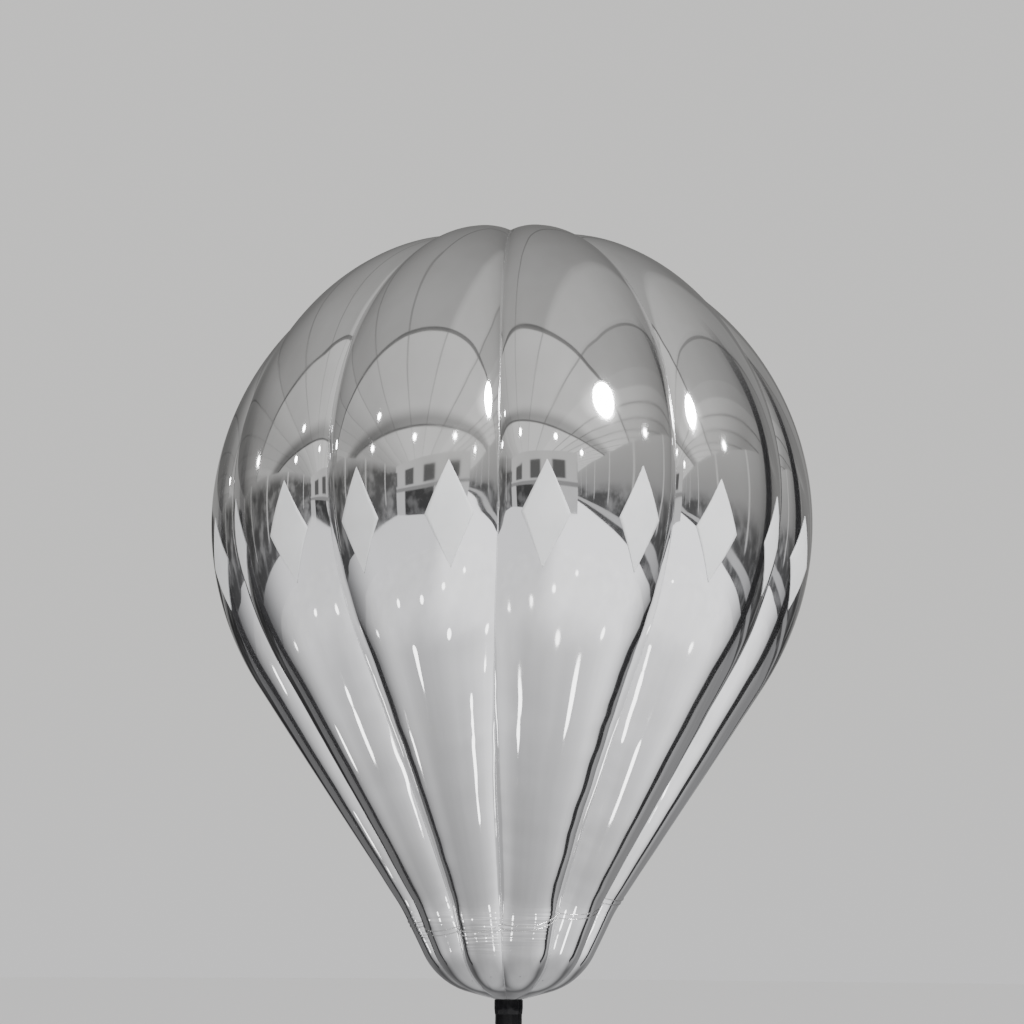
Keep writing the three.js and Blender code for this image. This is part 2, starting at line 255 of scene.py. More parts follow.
def crest_line():
    """The line over the gores' crests from the crown to the neck, its length, and the
    share of it that lies above the weld ring."""
    crown = math.acos(CROWN_RADIUS / BELLY_RADIUS)
    step = 0.004

    def arc(centre_x, centre_z, bend, first, last):
        count = math.ceil(bend * (first - last) / step)
        for i in range(count + 1):
            angle = first + (last - first) * i / count
            x = centre_x + bend * math.cos(angle)
            yield Vector((x, 0, centre_z + bend * math.sin(angle)))

    line = list(arc(0, BELLY_HEIGHT, BELLY_RADIUS, crown, -CONE_ANGLE))
    cone = line[-1]
    ring = Vector((cone.x - (cone.z - RING_HEIGHT) * math.tan(CONE_ANGLE), 0, RING_HEIGHT))
    reach = RING_BEND * math.tan((CONE_ANGLE - CUP_ANGLE) / 2)
    above = ring + reach * Vector((math.sin(CONE_ANGLE), 0, math.cos(CONE_ANGLE)))
    below = ring - reach * Vector((math.sin(CUP_ANGLE), 0, math.cos(CUP_ANGLE)))
    turns = [i / 12 for i in range(13)]
    ring_index = len(line) + 6  # the weld ring is in the middle of the turn
    line += [above.lerp(ring, t).lerp(ring.lerp(below, t), t) for t in turns]

    slope = math.tan(CUP_ANGLE)
    rise = math.tan(TAIL_ANGLE)
    tail = math.pi / 2 - TAIL_ANGLE
    bend_level = CUP_BEND * math.cos(tail)
    bend_above_ring = CUP_BEND * math.sin(CUP_ANGLE)
    beside = ring.x - (RING_HEIGHT + bend_above_ring) * slope - CUP_BEND * math.cos(CUP_ANGLE)
    drop = CUP_BEND * math.sin(tail) + (beside + bend_level - NECK_RADIUS) * rise
    bend_z = (NECK_HEIGHT + drop) / (1 - slope * rise)
    line += list(arc(beside + bend_z * slope, bend_z, CUP_BEND, -CUP_ANGLE, -tail))
    line.append(Vector((NECK_RADIUS, 0, NECK_HEIGHT)))

    fine = []
    lengths = [0.0]
    for a, b in zip(line, line[1:]):
        count = max(1, math.ceil((b - a).length / step))
        fine += [a.lerp(b, k / count) for k in range(count)]
        lengths.append(lengths[-1] + (b - a).length)
    fine.append(line[-1])
    curve = bpy.data.curves.new("crest_line", "CURVE")
    curve.dimensions = "3D"
    spline = curve.splines.new("POLY")
    spline.points.add(len(fine) - 1)
    for point, place in zip(spline.points, fine):
        point.co = (*place, 1)
    made = bpy.data.objects.new("crest_line", curve)
    scene.collection.objects.link(made)
    return made, lengths[-1], lengths[ring_index] / lengths[-1]


crest, CREST_LENGTH, RING_SHARE = crest_line()
FILM_NUMBERS = numbers("Gores", "Turn", "Pucker", "Seed")


def film_point_tree():
    """A group that gives the place of one point of the film: on which gore, how far
    across it from -1 to 1, how far down the crest line, and how high above the film."""
    inputs = [("Crest line", "Geometry")] + FILM_NUMBERS
    inputs += numbers("Gore", "Across", "Down", "Lift")
    tree, given, end = new_tree("film_point", inputs, [("Position", "Vector")])
    start = Link(tree)
    place, tangent = start.node(
        "GeometryNodeSampleCurve",
        {"mode": "FACTOR", "use_all_curves": True},
        Curves=given["Crest line"],
        Factor=given["Down"],
        out=("Position", "Tangent"),
    )
    radius, height = place.parts("X", "Z")
    upright, plunge = tangent.parts("X", "Z")
    level = plunge * -1
    span = LOBE_CURVE_HIGH - LOBE_CURVE_LOW
    shape = [((h - LOBE_CURVE_LOW) / span, angle / LOBE_CURVE_ANGLE) for h, angle in LOBES]
    curve = start.node(
        "ShaderNodeFloatCurve",
        {"points": [(0, shape[0][1]), *shape, (1, shape[-1][1])]},
        Value=(height - LOBE_CURVE_LOW) / span,
    )
    lobe = curve * math.radians(LOBE_CURVE_ANGLE)
    half = math.pi / given["Gores"]
    drop = (lobe / 2).maths("TANGENT")
    slope = half.maths("TANGENT")
    even_width = radius * slope / (1 + slope * drop * level)
    edge_radius = even_width / half.maths("SINE")
    edge_height = height - even_width * drop * upright

    along = given["Down"] * CREST_LENGTH
    in_cone = height.ramp(1.70, 2.25, 1, 0)
    looseness = height.ramp(2.03, 2.55, 1, 0.3)

    def wave(pitch, number, offset):
        """Noise from -1 to 1 along the crest line. Each number has a row of its own."""
        row = number * 7.31 + offset
        place = start.node("ShaderNodeCombineXYZ", {}, along / pitch, row, given["Seed"])
        sizes = {"Scale": 1, "Detail": 1.5, "Roughness": 0.5}
        rough = start.node("ShaderNodeTexNoise", {}, Vector=place, **sizes)
        return (rough - 0.5) * 2.6

    def seam_azimuth(seam):
        """Which way a seam faces at this height: even, but for its lean and its sway."""
        index = seam % GORES
        lean = start.node(
            "GeometryNodeIndexSwitch",
            {"data_type": "FLOAT", "cases": GORES},
            index,
            *(math.radians(SEAM_LEAN.get(k, 0)) for k in range(GORES)),
        )
        sway = wave(pitch=0.11, number=index, offset=3.7) * given["Pucker"] * looseness * 1.1
        return given["Turn"] + seam * half * 2 + lean * in_cone + sway / (radius + 0.05)

    left = seam_azimuth(given["Gore"])
    right = seam_azimuth(given["Gore"] + 1)
    own_half = (right - left) / 2
    width = edge_radius * own_half.maths("SINE")
    chord = edge_radius * own_half.maths("COSINE")
    rise = radius - chord
    climb = height - edge_height
    depth = (rise * rise + climb * climb).maths("SQRT")
    own_lobe = (depth / width).maths("ARCTANGENT") * 2
    bend = width / own_lobe.maths("SINE")
    turn = given["Across"] * own_lobe
    share = bend * (turn.maths("COSINE") - own_lobe.maths("COSINE")) / depth

    from_seam = (1 - abs(given["Across"])) * own_lobe * bend
    side_number = (given["Gore"] % GORES) * 2 + (given["Across"] > 0)

    def beside_seam(reach):
        """Nothing on the seam, 1 at this reach from it, and fading out beyond."""
        near = from_seam / reach
        return near * (1 - near).maths("EXPONENT")

    long_wave = wave(pitch=0.085, number=side_number, offset=0.4) * beside_seam(0.030)
    short_wave = wave(pitch=0.019, number=side_number, offset=11.2) * beside_seam(0.010) * 0.30
    middle_wave = wave(pitch=0.33, number=given["Gore"] % GORES, offset=23.5)
    middle_wave = middle_wave * from_seam.ramp(0.0, 0.08) * 0.9
    pucker = (long_wave + short_wave + middle_wave) * looseness * given["Pucker"]
    shoulder = beside_seam(0.035) * height.ramp(2.0, 2.4, 0.0, SEAM_SHOULDER)
    out = given["Lift"] + shoulder + pucker * (radius / 0.25).maths("MINIMUM", 1)

    x = chord + share * rise + out * turn.maths("COSINE") * level
    z = edge_height + share * climb + out * turn.maths("COSINE") * upright
    side = (bend + out) * turn.maths("SINE")
    azimuth = (left + right) / 2 - math.pi / 2
    cosine = azimuth.maths("COSINE")
    sine = azimuth.maths("SINE")
    to_right = x * cosine - side * sine
    to_back = x * sine + side * cosine
    position = start.node("ShaderNodeCombineXYZ", {}, to_right, to_back, z)
    position.into(end.inputs["Position"])
    return tree


film_point = film_point_tree()
FILM_SIZES = [("Crest line", "Object")] + FILM_NUMBERS
GRID_SIZES = [("Rows", "Int"), ("Cells across", "Int"), ("Film", "Material")]
FILM_VALUES = {
    "Crest line": crest,
    "Gores": float(GORES),
    "Turn": GORE_TURN,
    "Pucker": 0.0010,
    "Seed": 4.0,
}


def on_film(given, gore, across, down, lift):
    """The place of a film point, from inside a tree that has the film's sizes."""
    start = Link(given["Gores"].tree)
    line = start.node("GeometryNodeObjectInfo", {}, given["Crest line"], out="Geometry")
    return start.node(
        "GeometryNodeGroup",
        {"node_tree": film_point},
        line,
        *(given[name] for name, _ in FILM_NUMBERS),
        gore,
        across,
        down,
        lift,
    )


def gore_grid(given, rows):
    """A grid that goes round all gores. Gives its mesh, the gore and the place across
    it of each point, crowded towards the seams, and its share of the rows."""
    start = Link(given["Gores"].tree)
    columns = given["Cells across"] * given["Gores"] + 1
    both = ("Mesh", "UV Map")
    grid, place = start.node("GeometryNodeMeshGrid", {}, 1, 1, columns, rows, out=both)
    round_share, row_share = place.parts("X", "Y")
    round_gores = round_share * given["Gores"]
    gore = (round_gores + 0.0001).maths("FLOOR")
    even = (round_gores - gore) * 2 - 1
    across = even * 0.35 + (even * (math.pi / 2)).maths("SINE") * 0.65
    return grid, gore, across, row_share


def laid(start, mesh, place):
    """A mesh with its points moved to their places, and those that meet merged."""
    mesh = start.node("GeometryNodeSetPosition", {}, mesh, Position=place)
    return start.node("GeometryNodeMergeByDistance", {}, mesh, Distance=MERGE_WITHIN)


def skin(start, mesh, sharp_angle, material):
    """A mesh's smooth faces with its sharp folds kept, and its material."""
    mesh = start.node("GeometryNodeSetShadeSmooth", {"domain": "FACE"}, mesh, Shade_Smooth=True)
    angle = start.node("GeometryNodeInputMeshEdgeAngle", {}, out="Unsigned Angle")
    mesh = start.node(
        "GeometryNodeSetShadeSmooth",
        {"domain": "EDGE"},
        mesh,
        Selection=angle > math.radians(sharp_angle),
        Shade_Smooth=False,
    )
    mesh = start.node("GeometryNodeRealizeInstances", {}, mesh)
    return start.node("GeometryNodeSetMaterial", {}, mesh, Material=material)


def film_tree():
    """Film from one share of the crest line to another, all the way round."""
    inputs = FILM_SIZES + GRID_SIZES + numbers("Down from", "Down to", "Crowding")
    tree, given, end = new_tree("film", inputs)
    start = Link(tree)
    grid, gore, across, row_share = gore_grid(given, given["Rows"])
    crowded = 1 - (1 - row_share) ** given["Crowding"]
    down = given["Down from"] + (given["Down to"] - given["Down from"]) * crowded
    place = on_film(given, gore, across, down, 0)
    mesh = start.node("GeometryNodeFlipFaces", {}, laid(start, grid, place))
    skin(start, mesh, 22, given["Film"]).into(end.inputs["Geometry"])
    return tree


def new_material(name, colour, roughness, metallic=0.0):
    """A material and the sockets of its shader that the pieces share."""
    made = bpy.data.materials.new(name)
    made.use_nodes = True
    shader = made.node_tree.nodes["Principled BSDF"]
    shader.inputs["Base Color"].default_value = (*colour, 1)
    shader.inputs["Roughness"].default_value = roughness
    shader.inputs["Metallic"].default_value = metallic
    return made, Link(made.node_tree), shader.inputs


def noise(start, place, scale, detail=2.0, stretch=None):
    """Noise on a place, drawn out along its axes by a stretch."""
    if stretch:
        place = start.node("ShaderNodeMapping", {"vector_type": "POINT"}, place, Scale=stretch)
    sizes = {"Scale": scale, "Detail": detail, "Roughness": 0.55}
    return start.node("ShaderNodeTexNoise", {}, Vector=place, **sizes)


def on_piece(start):
    """The place on the piece that carries the material."""
    return start.node("ShaderNodeTexCoord", {}, out="Object")


def raised(relief):
    """The normal of a surface with a relief in metres."""
    return relief.node("ShaderNodeBump", {}, Strength=1, Distance=1, Height=relief)


def mirror_film():
    """Metallised film: mirror bright, with a little haze and dust and fine ripples
    along the weld ring, where the film was drawn into the welding tool."""
    made, start, sockets = new_material("mirror_film", (0.86, 0.86, 0.87), 0.05, 1.0)
    bright = (0.885, 0.885, 0.89)
    hazed = (0.845, 0.842, 0.84)
    place = on_piece(start)
    haze = noise(start, place, 7, 6)
    dust = noise(start, place, 260)
    roughness = 0.035 + haze.ramp(0.42, 0.72) * 0.05 + dust.ramp(0.66, 0.78) * 0.05
    roughness.into(sockets["Roughness"])
    haze.ramp(0.3, 0.7).colour(bright, hazed).into(sockets["Base Color"])
    x, y, z = place.parts("X", "Y", "Z")
    above_ring = z - x * RING_TILT[0] - y * RING_TILT[1] - RING_HEIGHT
    near_ring = 1 - abs(above_ring).ramp(0.01, 0.055)
    drawn_in = noise(start, place, 6, 1).ramp(0.42, 0.60)
    ripples = noise(start, place, 1, 1, (9, 9, 150)) * drawn_in
    waver = noise(start, place, 9, 1)
    raised(ripples * near_ring * 0.0014 + waver * 0.0004).into(sockets["Normal"])
    return made


film = film_tree()
film_material = mirror_film()
FILM_CELLS = 46  # across each gore
FILM_PARTS = [  # piece, its solids, the stretch of the crest line, crowding, rows
    ("gores", "gore", 0.0, RING_SHARE, 1.12, 150),
    ("cup", "cup", RING_SHARE, 1.0, 1.0, 60),
]
for name, solid, top, foot, crowding, rows in FILM_PARTS:
    values = {
        **FILM_VALUES,
        "Down from": top,
        "Down to": foot,
        "Crowding": crowding,
        "Rows": rows,
        "Cells across": FILM_CELLS,
        "Film": film_material,
    }
    solids = [f"{solid}_{number:02d}" for number in range(1, GORES + 1)]
    fitted(run_tree(name, film, values), "balloon", "mirror_film", *solids)

# Crown patch: a round of the same film, welded over the gores' tips. It bulges a
# little between the seams, and the folds run out towards its middle.

CROWN_OVERLAP = 0.011 / CREST_LENGTH
CROWN_RIM_SHARE = 0.15  # of the patch's rows, those on the gores
CROWN_TOP = BELLY_HEIGHT + BELLY_RADIUS


def crown_tree():
    """The patch: its rim lies on the gores, and the rest closes over the axis."""
    inputs = FILM_SIZES + GRID_SIZES + numbers("Overlap", "Lift")
    tree, given, end = new_tree("crown", inputs)
    start = Link(tree)
    grid, gore, across, row_share = gore_grid(given, given["Rows"])
    on_rim = (1 - row_share / CROWN_RIM_SHARE).maths("MAXIMUM", 0)
    inward = ((row_share - CROWN_RIM_SHARE) / (1 - CROWN_RIM_SHARE)).maths("MAXIMUM", 0)
    place = on_film(given, gore, across, given["Overlap"] * on_rim, given["Lift"])
    x, y, z = place.parts("X", "Y", "Z")
    share = 1 - inward
    height = CROWN_TOP + (z - CROWN_TOP) * share * share
    position = start.node("ShaderNodeCombineXYZ", {}, x * share, y * share, height)
    mesh = laid(start, grid, position)
    skin(start, mesh, 30, given["Film"]).into(end.inputs["Geometry"])
    return tree


crown = run_tree(
    "crown_round",
    crown_tree(),
    {
        **FILM_VALUES,
        "Overlap": CROWN_OVERLAP,
        "Lift": 0.0006,
        "Rows": 30,
        "Cells across": 12,
        "Film": film_material,
    },
)
fitted(crown, "balloon", "mirror_film", "crown_patch")

# Welds: a narrow bead closes every seam from the crown to the neck, one goes round
# the crown patch, and a double one joins the gores to the cup. The double one
# isn't level: it runs lower on the front left, as the film was cut.

SEAM_POINTS = 260
ROUND_POINTS = GORES * 48
RING_SWAY = 0.045 / math.cos(CONE_ANGLE) / CREST_LENGTH
RING_LOW_SIDE = math.radians(-30)
RING_WELD_PITCH = 0.009 / CREST_LENGTH  # between the two lines of the double weld


def stored(start, mesh, name, value, kind):
    """A mesh with a value kept at each of its points."""
    settings = {"data_type": kind, "domain": "POINT"}
    return start.node("GeometryNodeStoreNamedAttribute", settings, mesh, Name=name, Value=value)


def copies(start, shape, count):
    """Copies of a shape as one mesh, and the number of the copy that a point is in."""
    points = start.node("GeometryNodeMeshLine", {}, count)
    number = start.node("GeometryNodeInputIndex", {})
    points = stored(start, points, "copy", number, "FLOAT")
    placed = start.node("GeometryNodeInstanceOnPoints", {}, points, Instance=shape)
    mesh = start.node("GeometryNodeRealizeInstances", {}, placed)
    return mesh, start.node("GeometryNodeInputNamedAttribute", {"data_type": "FLOAT"}, "copy")


def circle(start, points, radius):
    """A round curve."""
    settings = {"mode": "RADIUS"}
    return start.node("GeometryNodeCurvePrimitiveCircle", settings, Resolution=points, Radius=radius)


def bead(start, line, radius, material):
    """A round bead of weld along a line of edges."""
    curve = start.node("GeometryNodeMeshToCurve", {}, line)
    profile = circle(start, 6, radius)
    mesh = start.node("GeometryNodeCurveToMesh", {}, curve, profile, Fill_Caps=True)
    mesh = start.node("GeometryNodeRemoveAttribute", {}, mesh, Name="copy")
    return skin(start, mesh, 70, material)


def seam_weld_tree():
    """A bead down every seam."""
    inputs = FILM_SIZES + [("Points", "Int"), ("Radius", "Float"), ("Weld", "Material")]
    tree, given, end = new_tree("seam_welds", inputs)
    start = Link(tree)
    line = start.node("GeometryNodeMeshLine", {}, given["Points"])
    mesh, seam = copies(start, line, given["Gores"])
    index = start.node("GeometryNodeInputIndex", {})
    down = (index % given["Points"]) / (given["Points"] - 1)
    place = on_film(given, seam, -1, down, given["Radius"] * -0.2)
    mesh = start.node("GeometryNodeSetPosition", {}, mesh, Position=place)
    bead(start, mesh, given["Radius"], given["Weld"]).into(end.inputs["Geometry"])
    return tree


def round_weld_tree():
    """Beads round the envelope, one below the other, lower on one side by a sway."""
    inputs = FILM_SIZES + [("Points", "Int"), ("Lines", "Int"), ("Weld", "Material")]
    inputs += numbers("Down at", "Pitch", "Sway", "Low side", "Radius")
    tree, given, end = new_tree("round_welds", inputs)
    start = Link(tree)
    loop = start.node("GeometryNodeMeshCircle", {}, Vertices=given["Points"])
    mesh, number = copies(start, loop, given["Lines"])
    index = start.node("GeometryNodeInputIndex", {})
    round_gores = (index % given["Points"]) / given["Points"] * given["Gores"]
    gore = (round_gores + 0.0001).maths("FLOOR")
    across = (round_gores - gore) * 2 - 1
    azimuth = given["Turn"] + round_gores / given["Gores"] * (2 * math.pi)
    sway = (azimuth - given["Low side"]).maths("COSINE") * given["Sway"]
    down = given["Down at"] + number * given["Pitch"] + sway
    place = on_film(given, gore, across, down, 0)
    mesh = start.node("GeometryNodeSetPosition", {}, mesh, Position=place)
    bead(start, mesh, given["Radius"], given["Weld"]).into(end.inputs["Geometry"])
    return tree


def weld_film():
    """Film that was melted flat in the weld: duller, with the tool's fine marks."""
    made, start, sockets = new_material("welded_film", (0.84, 0.84, 0.85), 0.2, 1.0)
    place = on_piece(start)
    marks = noise(start, place, 420)
    (0.12 + marks * 0.16).into(sockets["Roughness"])
    marks.ramp(0.3, 0.7).colour((0.86, 0.86, 0.87), (0.78, 0.78, 0.78)).into(sockets["Base Color"])
    raised(marks * 0.0002).into(sockets["Normal"])
    return made


weld_material = weld_film()
round_weld = round_weld_tree()
seam_welds = run_tree(
    "seam_welds",
    seam_weld_tree(),
    {**FILM_VALUES, "Points": SEAM_POINTS, "Radius": 0.0013, "Weld": weld_material},
)
ring_weld = run_tree(
    "ring_weld",
    round_weld,
    {
        **FILM_VALUES,
        "Points": ROUND_POINTS,
        "Lines": 2,
        "Down at": RING_SHARE - RING_WELD_PITCH / 2,
        "Pitch": RING_WELD_PITCH,
        "Sway": RING_SWAY,
        "Low side": RING_LOW_SIDE,
        "Radius": 0.0011,
        "Weld": weld_material,
    },
)
crown_weld = run_tree(
    "crown_weld",
    round_weld,
    {
        **FILM_VALUES,
        "Points": ROUND_POINTS,
        "Lines": 1,
        "Down at": CROWN_OVERLAP * 0.8,
        "Pitch": 0.0,
        "Sway": 0.0,
        "Low side": 0.0,
        "Radius": 0.0013,
        "Weld": weld_material,
    },
)
for piece in (seam_welds, ring_weld, crown_weld):
    fitted(piece, "balloon", "mirror_film")

# Lozenges: matt white adhesive film, two on each gore in a belt just below the widest
# part. Each is cut 85 mm wide and laid over the lobe.

LOZENGE_LOW = 2.100
LOZENGE_HIGH = 2.285
LOZENGE_HALF_WIDTH = 0.25  # of the half lobe
LOZENGE_FILM = 0.0004
LOZENGE_POINTS = (13, 41)  # of its grid, across and up


def share_at(height):
    """The crest line's share at a height on the round upper part."""
    angle = math.asin((height - BELLY_HEIGHT) / BELLY_RADIUS)
    return (math.acos(CROWN_RADIUS / BELLY_RADIUS) - angle) * BELLY_RADIUS / CREST_LENGTH


def lozenge_tree():
    """Lozenges round the envelope, on both sides of every crest."""
    inputs = FILM_SIZES + numbers("Down from", "Down to", "Half width", "Lift")
    tree, given, end = new_tree("lozenges", inputs + [("Vinyl", "Material")])
    start = Link(tree)
    both = ("Mesh", "UV Map")
    grid, place = start.node("GeometryNodeMeshGrid", {}, 1, 1, *LOZENGE_POINTS, out=both)
    grid = stored(start, grid, "cut", place, "FLOAT2")
    mesh, number = copies(start, grid, given["Gores"] * 2)
    cut = start.node("GeometryNodeInputNamedAttribute", {"data_type": "FLOAT_VECTOR"}, "cut")
    u, v = cut.parts("X", "Y")
    gore = (number / 2 + 0.01).maths("FLOOR")
    side = (number - gore * 2) - 0.5
    taper = 1 - abs(v * 2 - 1)
    across = side + (u * 2 - 1) * taper * given["Half width"]
    down = given["Down from"] + (given["Down to"] - given["Down from"]) * v
    place = on_film(given, gore, across, down, given["Lift"])
    mesh = start.node("GeometryNodeFlipFaces", {}, laid(start, mesh, place))
    for name in ("copy", "cut"):
        mesh = start.node("GeometryNodeRemoveAttribute", {}, mesh, Name=name)
    skin(start, mesh, 40, given["Vinyl"]).into(end.inputs["Geometry"])
    return tree


def white_vinyl():
    """Matt adhesive film: faintly grained, and a touch grey where hands pressed it on."""
    made, start, sockets = new_material("white_vinyl", (0.77, 0.78, 0.79), 0.5)
    clean = (0.80, 0.81, 0.82)
    handled = (0.72, 0.73, 0.74)
    place = on_piece(start)
    smears = noise(start, place, 9, 4)
    grain = noise(start, place, 700)
    smears.ramp(0.35, 0.7).colour(clean, handled).into(sockets["Base Color"])
    (0.42 + smears * 0.2).into(sockets["Roughness"])
    raised(grain * 0.00004 + smears * 0.0006).into(sockets["Normal"])
    return made


lozenges = run_tree(
    "lozenges",
    lozenge_tree(),
    {
        **FILM_VALUES,
        "Down from": share_at(LOZENGE_HIGH),
        "Down to": share_at(LOZENGE_LOW),
        "Half width": LOZENGE_HALF_WIDTH,
        "Lift": 0.0003,
        "Vinyl": white_vinyl(),
    },
)
thicken = lozenges.modifiers.new("film", "SOLIDIFY")
thicken.thickness = LOZENGE_FILM
thicken.offset = 1
settled(lozenges)
fitted(lozenges, "balloon", "white_vinyl")

bpy.data.objects.remove(crest)

# Neck disc and valve: black moulded nylon. The disc closes the cup and sits on the
# pole, and the valve's stem and cap stand on the cup's back panel.

FACET_ANGLE = math.radians(32)  # edges sharper than this stay sharp in the shading
BEVEL_ANGLE = math.radians(28)  # edges sharper than this are rounded


def black_nylon(name, tone):
    """Moulded nylon: fine spark-eroded grain, with a few paler rubbed places."""
    black = (tone, tone, tone * 1.05)
    pale = tone * 2.4
    made, start, sockets = new_material(name, black, 0.45)
    place = on_piece(start)
    grain = noise(start, place, 900, 3)
    rubbed = noise(start, place, 30, 5).ramp(0.52, 0.75)
    rubbed.colour(black, (pale, pale, pale)).into(sockets["Base Color"])
    (0.38 + grain * 0.16 - rubbed * 0.08).into(sockets["Roughness"])
    raised(grain * 0.00022).into(sockets["Normal"])
    return made


def coated(material, *names):
    """Give solids that stay as they are their finish."""
    for name in names:
        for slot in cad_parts[name].material_slots:
            slot.material = material


def piece_from(work, name, material, bevel):
    """A piece from a bmesh, its sharp edges rounded by a bevel."""
    mesh = bpy.data.meshes.new(name)
    work.to_mesh(mesh)
    work.free()
    mesh.materials.append(material)
    piece = bpy.data.objects.new(name, mesh)
    scene.collection.objects.link(piece)
    rounding = piece.modifiers.new("edges", "BEVEL")
    rounding.width = bevel
    rounding.segments = 3
    rounding.limit_method = "ANGLE"
    rounding.angle_limit = BEVEL_ANGLE
    settled(piece)
    piece.data.shade_smooth()
    piece.data.set_sharp_from_angle(angle=FACET_ANGLE)
    return piece


def rounded(node, name, material, bevel):
    """A solid's own shape again, its facets smooth and its edges rounded."""
    work = bmesh.new()
    work.from_mesh(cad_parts[node].data)
    bmesh.ops.remove_doubles(work, verts=work.verts, dist=0.00001)
    flat = math.radians(1)
    bmesh.ops.dissolve_limit(work, angle_limit=flat, verts=work.verts, edges=work.edges)
    return piece_from(work, name, material, bevel)


nylon = black_nylon("black_nylon", 0.020)
coated(black_nylon("neck_disc", 0.016), "neck_disc")
stem = rounded("valve_stem", "valve_body", nylon, 0.0004)
fitted(stem, "balloon", "black_nylon", "valve_stem")
cap = rounded("valve_cap", "valve_lid", nylon, 0.0006)
fitted(cap, "balloon", "black_nylon", "valve_cap")

# Pole: two-inch steel tube in black gloss powder coat, with a pressed collar at the top,
# a nylon spigot that the envelope turns on, and a nylon plug in its lower end.

POLE_RADIUS = 0.0254
POLE_WALL = 0.0025
COLLAR_WALL = 0.0015
COLLAR_LIP = 0.0004  # the collar's lower edge is pressed in to this
COLLAR_TAPER = 0.010


def turned(name, outline, material, bevel, sides=96):
    """A piece turned about the pole's axis from a closed outline of radius, height."""
    work = bmesh.new()
    ring = [work.verts.new((radius, 0, height)) for radius, height in outline]
    edges = []
    for a, b in zip(ring, ring[1:] + ring[:1]):
        if a.co.x > 0 or b.co.x > 0:
            edges.append(work.edges.new((a, b)))
    bmesh.ops.spin(
        work,
        geom=ring + edges,
        cent=(0, 0, 0),
        axis=(0, 0, 1),
        angle=2 * math.pi,
        steps=sides,
        use_merge=True,
    )
    bmesh.ops.remove_doubles(work, verts=work.verts, dist=0.000005)
    bmesh.ops.recalc_face_normals(work, faces=work.faces)
    return piece_from(work, name, material, bevel)


def tube(name, inner, outer, low, high, material, bevel):
    """A round tube on the pole's axis."""
    outline = [(inner, low), (outer, low), (outer, high), (inner, high)]
    return turned(name, outline, material, bevel)


def black_gloss():
    """Gloss powder coat: orange peel, dust, and fine upright rubs from sliding."""
    made, start, sockets = new_material("black_gloss", (0.008, 0.008, 0.009), 0.14)
    sockets["Specular IOR Level"].default_value = 0.18
    place = on_piece(start)
    peel = noise(start, place, 150)
    dust = noise(start, place, 500).ramp(0.62, 0.8)
    rubs = noise(start, place, 1, 4, (420, 420, 6)).ramp(0.6, 0.8)
    worn = dust.maths("MAXIMUM", rubs * 0.7)
    worn.colour((0.007, 0.007, 0.008), (0.028, 0.028, 0.030)).into(sockets["Base Color"])
    (0.11 + rubs * 0.14 + dust * 0.12).into(sockets["Roughness"])
    raised(peel * 0.00012).into(sockets["Normal"])
    return made


gloss = black_gloss()
low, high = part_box("pole_tube")
pole = tube("pole", POLE_RADIUS - POLE_WALL, POLE_RADIUS, low.z, high.z, gloss, 0.0006)
fitted(pole, "pole", "black_gloss", "pole_tube")
low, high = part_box("pole_collar")
inner = high.x - COLLAR_WALL
outline = [
    (inner, low.z),
    (inner + COLLAR_LIP, low.z),
    (high.x, low.z + COLLAR_TAPER),
    (high.x, high.z),
    (inner, high.z),
]
collar = turned("collar", outline, gloss, 0.0004)
fitted(collar, "pole", "black_gloss", "pole_collar")
coated(nylon, "pole_spigot", "pole_glide")

# Base: a round steel plate and a flanged socket with four gussets, welded up and
# powder coated light grey in a fine texture. Four hexagon bolts hold the flange.

BASE_RADIUS = 0.350
BASE_THICKNESS = 0.008
FLANGE_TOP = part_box("base_socket")[0].z + 0.008
OUTER_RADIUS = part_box("outer_tube")[1].x
WELD_BEAD = 0.0024
WELD_REACH = 0.0050  # the bead's middle from the outer tube's wall
WELD_RISE = 0.0008  # and above the flange
RIPPLE_POINTS = 6  # round the ring, for each ripple of the bead


def grey_powder():
    """Textured powder coat: light grey and pimpled, with duller patches and scuffs."""
    made, start, sockets = new_material("grey_powder", (0.38, 0.385, 0.39), 0.55)
    place = on_piece(start)
    pimples = start.node("ShaderNodeTexVoronoi", {}, Vector=place, Scale=620)
    patches = noise(start, place, 8, 5)
    scuffs = noise(start, place, 1, 5, (35, 6, 20)).ramp(0.6, 0.7)
    dulled = patches.ramp(0.4, 0.7) * 0.7 + scuffs * 0.3
    dulled.colour((0.35, 0.355, 0.36), (0.27, 0.27, 0.265)).into(sockets["Base Color"])
    (0.5 + patches * 0.14 - scuffs * 0.1).into(sockets["Roughness"])
    raised(pimples * -0.00035 + scuffs * -0.00003).into(sockets["Normal"])
    return made


def zinc_plate():
    """Bright zinc plating: faint blue and straw tints, brushed by handling."""
    made, start, sockets = new_material("zinc", (0.6, 0.6, 0.62), 0.28, 1.0)
    place = on_piece(start)
    blue = (0.58, 0.60, 0.66)
    straw = (0.66, 0.63, 0.56)
    tint = noise(start, place, 45, 4)
    brushed = noise(start, place, 1, 3, (900, 60, 900))
    tint.ramp(0.35, 0.65).colour(blue, straw).into(sockets["Base Color"])
    (0.2 + brushed * 0.2).into(sockets["Roughness"])
    raised(brushed * 0.00005).into(sockets["Normal"])
    return made


